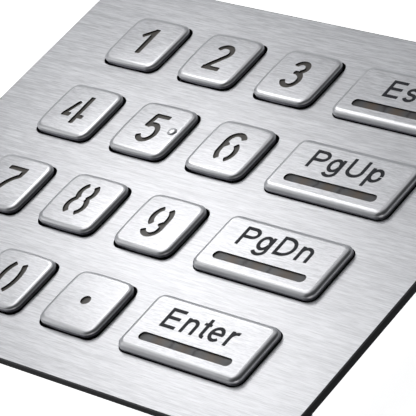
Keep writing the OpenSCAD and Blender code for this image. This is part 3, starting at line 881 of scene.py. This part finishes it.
def softened(node, material, width=0.08):
    """A small part's solid with its flat faces joined up and its edges rounded by width."""
    mesh = nodes[node].data.copy()
    work = bmesh.new()
    work.from_mesh(mesh)
    bmesh.ops.remove_doubles(work, verts=work.verts, dist=1e-6)
    bmesh.ops.dissolve_limit(work, angle_limit=math.radians(1), verts=work.verts, edges=work.edges)
    bmesh.ops.recalc_face_normals(work, faces=work.faces)
    work.to_mesh(mesh)
    work.free()
    mesh.materials.clear()
    mesh.materials.append(material)
    mesh.shade_smooth()
    piece = bpy.data.objects.new(node + "_detail", mesh)
    bpy.context.scene.collection.objects.link(piece)
    edge = piece.modifiers.new("rounded_edges", "BEVEL")
    edge.width, edge.segments, edge.harden_normals = width / 1000, 2, True
    edge.limit_method, edge.angle_limit = "ANGLE", math.radians(35)
    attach(piece, housing)
    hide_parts(node)


def hex_nut(at, corner_r, low, high, bore_r):
    """Hexagon nut: its sides follow the hexagon's radius at each angle, its corners are chamfered at 30
    degrees, and its bore is countersunk."""
    angle = np.linspace(0, 360, 48, endpoint=False)
    flat = corner_r * math.cos(math.radians(30))
    hexagon = flat / np.cos(np.radians(angle % 60 - 30))
    face = flat * 0.96
    drop = (hexagon - face) * math.tan(math.radians(30))
    round_line = circle(1, (0, 0), 48)
    sink, mouth = 0.2, bore_r + 0.2
    rings = [(bore_r, high - sink), (mouth, high), (face, high), (hexagon, high - drop),
             (hexagon, low + drop), (face, low), (mouth, low), (bore_r, low + sink), (bore_r, high - sink)]
    return skin([lift(round_line * np.broadcast_to(r, 48)[:, None] + at, z) for r, z in rings])


# tracks under the mask run up or across the board, in square patches; * 1.0 makes a patch's colour a number
mask, make, link = finish("solder_mask", Coat_Weight=0.4, Coat_Roughness=0.15)
track_half_pitch = 0.000635
ways = [make.node("ShaderNodeSeparateXYZ", output=axis, _0=place(make)) for axis in (0, 1)]
folded = [make.maths("PINGPONG", way, track_half_pitch) for way in ways]
upright, level = (make.maths("DIVIDE", fold, track_half_pitch).clip(0.62, 0.7) for fold in folded)
patch = make.node("ShaderNodeTexVoronoi", {"distance": "CHEBYCHEV"}, 1, Vector=place(make), Scale=110.0) * 1.0
turned_patch = patch.clip(0.48, 0.52)
track = upright * (1 - turned_patch) + level * turned_patch
link(Base_Color=track.tint((0.008, 0.07, 0.03, 1), (0.02, 0.15, 0.06, 1)),
     Roughness=noise(make, (700, 700, 700), 2) * 0.15 + 0.25, Normal=relief(make, track, 0.00003))
laminate = moulded("board_edge", (0.28, 0.26, 0.14), (0.42, 0.4, 0.24), 0.6, 3000)
board_lines = [board_line, *(bore(stack_bore, at) for at in stack_at)]
solid("circuit_board_mask", pressed(board_lines, board_z, board_top, 0.05, 1), [mask, laminate], housing,
      ["circuit_board"])
gold = plated("gold_flash", (0.75, 0.53, 0.2), (0.88, 0.68, 0.32), 0.28)
for material_slot in nodes["contact_pads"].material_slots:
    material_slot.material = gold
lamp_resin = moulded("amber_lens", (0.75, 0.33, 0.04), (0.9, 0.48, 0.09), 0.25, 1500, 0.000003,
                     Coat_Weight=0.3)
softened("backlight_leds", lamp_resin)

zinc = plated("bright_zinc", (0.58, 0.6, 0.63), (0.74, 0.75, 0.77), 0.26)
washer_r, washer_bore, washer_t, nut_corner, nut_t = 2.2, 1.1, 0.4, 2.3, 1.6
washer_z = board_z - washer_t
washers = [part for at in stack_at
           for part in pressed([bore(washer_r, at, -1), bore(washer_bore, at)], washer_z, board_z, 0.06)]
solid("stack_washers_round", washers, [zinc], housing, ["stack_washers"])
nuts = [hex_nut(at, nut_corner, washer_z - nut_t, washer_z, 0.95) for at in stack_at]
solid("stack_nuts_hex", nuts, [zinc], housing, ["stack_nuts"])

# ------------------------------
# Parts on the back of the board: the controller, a crystal can, a sounder, a filter capacitor
# and rows of small chips. Moulded black packages and drawn cans, all without markings.
# ------------------------------
package = moulded("black_package", (0.012, 0.012, 0.013), (0.028, 0.028, 0.03), 0.5, 2500, 0.000008)
can = plated("drawn_can", (0.6, 0.6, 0.62), (0.76, 0.76, 0.77), 0.3)
chip_ceramic = moulded("tan_ceramic", (0.3, 0.22, 0.14), (0.44, 0.34, 0.24), 0.45, 2500, 0.000008)
softened("controller_chip", package, 0.05)
softened("crystal", can, 0.1)
softened("buzzer", package, 0.3)
softened("filter_capacitor", can, 0.15)
softened("small_parts", chip_ceramic, 0.06)

# ------------------------------
# Box header: black moulded shroud with a polarising notch, and ten square gold-flashed pins in
# two rows, soldered to the board and reached through the cover's window.
# ------------------------------
pin_pitch, header_y = 2.54, -11.1
header_plastic = moulded("header_moulding", (0.012, 0.012, 0.014), (0.026, 0.026, 0.03), 0.42, 1800, 0.00001)
softened("connector_header", header_plastic, 0.2)


def pin(x, y, side=0.64, tip=0.26):
    """Square pin with rounded edges from the board down to a tapered tip, closed at both ends."""
    taper_z, tip_z = board_z - 6.2, board_z - 6.9
    section = [(0, board_z), (side, board_z), (side, taper_z), (tip, tip_z), (0, tip_z)]
    return skin([lift(ring(s, s, 0.1 * s, 2) + (x, y), z) for s, z in section])


pins = [pin(column * pin_pitch, header_y + row * pin_pitch / 2) for column in range(-2, 3) for row in (-1, 1)]
solid("header_pins_square", pins, [gold], housing, ["header_pins"])

# ------------------------------
# Rear cover: a tray pressed from 0.8 mm zinc-coated sheet, its walls bent with inside and outside
# radii, pierced for the header and the sounder and held by a cross-recess screw in each corner.
# ------------------------------
pan_z, cover_t, cover_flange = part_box("rear_cover")[0].z * 1000, 0.8, 8.5
pan_w, pan_h, pan_r = guide_w - 2 * cover_flange, guide_h - 2 * cover_flange, 3
window = ring(21.3, 9.9, 0.6) + (0, header_y)
sound_holes = [circle(0.5, (x, y), 24) for x in (24, 26, 28) for y in (8, 10, 12)]


def tray(sink, bend, corner):
    """One face of the tray, sunk by sink into its thickness: bend is the radius from the flange into the
    wall and corner the one from the wall into the floor. Both are quarter circles."""
    top, floor = board_z - cover_t + sink, pan_z + sink
    angle = np.linspace(0, math.pi / 2, 7)
    across = [*(bend * (1 - np.sin(angle))), *(-corner * (1 - np.cos(angle)))]
    height = [*(top - bend * (1 - np.cos(angle))), *(floor + corner * (1 - np.sin(angle)))]
    return [lift(around(pan_w, pan_h, pan_r, 1)(a - sink), z) for a, z in zip(across, height)]


def cover_parts():
    """Flange with its edge and screw holes, the tray's two faces, and the pierced floor."""
    edge_break = 0.08
    screw_holes = [circle(1.2, at) for at in screw_at]
    parts, faces = [], []
    for sink, bend, corner in ((0, 1.2, 1.7), (cover_t, 0.4, 0.9)):
        rings = tray(sink, bend, corner)
        rim = around(guide_w, guide_h, 1)(edge_break)
        for loop, holes, z in ((rim, [rings[0][:, :2], *screw_holes], rings[0][0, 2]),
                               (rings[-1][:, :2], [window, *sound_holes], rings[-1][0, 2])):
            points, triangles, inside = cover(loop, holes)
            parts.append((lift(points, z), triangles[~inside]))
        parts.append(skin(rings))
        faces.append((rim, rings[0][0, 2], rings[-1][0, 2]))
    (rim, under, floor), (_, over, inner_floor) = faces
    edge = ring(guide_w, guide_h, 1)
    parts.append(skin([lift(rim, under), lift(edge, under + edge_break), lift(edge, over - edge_break),
                       lift(rim, over)]))
    parts += [skin([lift(hole, under), lift(hole, over)]) for hole in screw_holes]
    parts += [skin([lift(hole, floor), lift(hole, inner_floor)]) for hole in [window, *sound_holes]]
    return parts


# crystals of zinc over fine rolling lines; * 1.0 makes a crystal's colour a number
cover_steel, make, link = finish("zinc_coated_sheet", Metallic=1.0)
crystals = make.node("ShaderNodeTexVoronoi", {"feature": "SMOOTH_F1"}, 1, Vector=place(make), Scale=320.0)
spangle = crystals * 1.0
rolling = noise(make, (40, 1600, 40), 2)
sheen = (spangle * 0.6 + rolling * 0.4).clip(0.15, 0.85)
link(Base_Color=sheen.tint((0.44, 0.455, 0.475, 1), (0.6, 0.61, 0.63, 1)),
     Roughness=spangle * 0.12 + rolling * 0.1 + 0.28, Normal=relief(make, rolling, 0.000004))
solid("rear_cover_tray", cover_parts(), [cover_steel], housing, ["rear_cover"])


def pan_screw(at):
    """Pan head with a cross recess: the head's height falls off as the square of the distance from its
    middle, and the recess is a plus sign with upright walls."""
    seat, head_r, head_h, depth, shank_top = board_z - cover_t, 1.9, 1.3, 0.6, board_z - cover_t + 2.6
    arm, half = 1.1, 0.25
    plus = np.array([(arm, half), (half, half), (half, arm), (-half, arm), (-half, half), (-arm, half),
                     (-arm, -half), (-half, -half), (-half, -arm), (half, -arm), (half, -half), (arm, -half)])

    def crown(points):
        return seat - head_h + 0.25 * ((points - at) ** 2).sum(-1) / head_r**2

    rings = [lift(circle(head_r - i, at), crown(circle(head_r - i, at)) + d) for i, d in roll(0.35, 0.6, 5)]
    spots = np.concatenate([circle(r, at, 24) for r in (0.45, 0.85, 1.25)])
    points, triangles, inside = cover(rings[0][:, :2], [plus + at], spots)
    return [
        skin([*rings, lift(circle(head_r, at), seat), lift(circle(1, at), seat),
              lift(circle(1, at), shank_top), lift(circle(0, at), shank_top)]),
        (lift(points, crown(points)), triangles[~inside]),
        (lift(points, seat - head_h + depth), triangles[inside]),
        curtain(points, borders(triangles, inside), seat - head_h + depth, crown(points)),
    ]


screws = [part for at in screw_at for part in pan_screw(at)]
solid("cover_screws_cross", screws, [zinc], housing, ["cover_screws"])

# ------------------------------
# Earth terminal: an M3 stud welded to the cover's flange, a tinned brass tag for the earth lead's
# push-on receptacle, and the nut that clamps it.
# ------------------------------
(earth_low, earth_high), (nut_low, nut_high) = ([corner * 1000 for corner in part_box(node)]
                                                for node in ("earth_stud", "earth_nut"))
earth_at = ((earth_low.x + earth_high.x) / 2, (earth_low.y + earth_high.y) / 2)
tinned = plated("tinned_brass", (0.6, 0.57, 0.5), (0.76, 0.73, 0.66), 0.3)
earth_stud = threaded(earth_at, stud_r, earth_low.z, earth_high.z, m3_pitch, m3_thread)
solid("earth_stud_threaded", [earth_stud], [stud_steel], housing, ["earth_stud"])
earth_nut = hex_nut(earth_at, 3.1, nut_low.z, nut_high.z, 1.35)
solid("earth_nut_hex", [earth_nut], [zinc], housing, ["earth_nut"])
softened("earth_tag", tinned, 0.12)
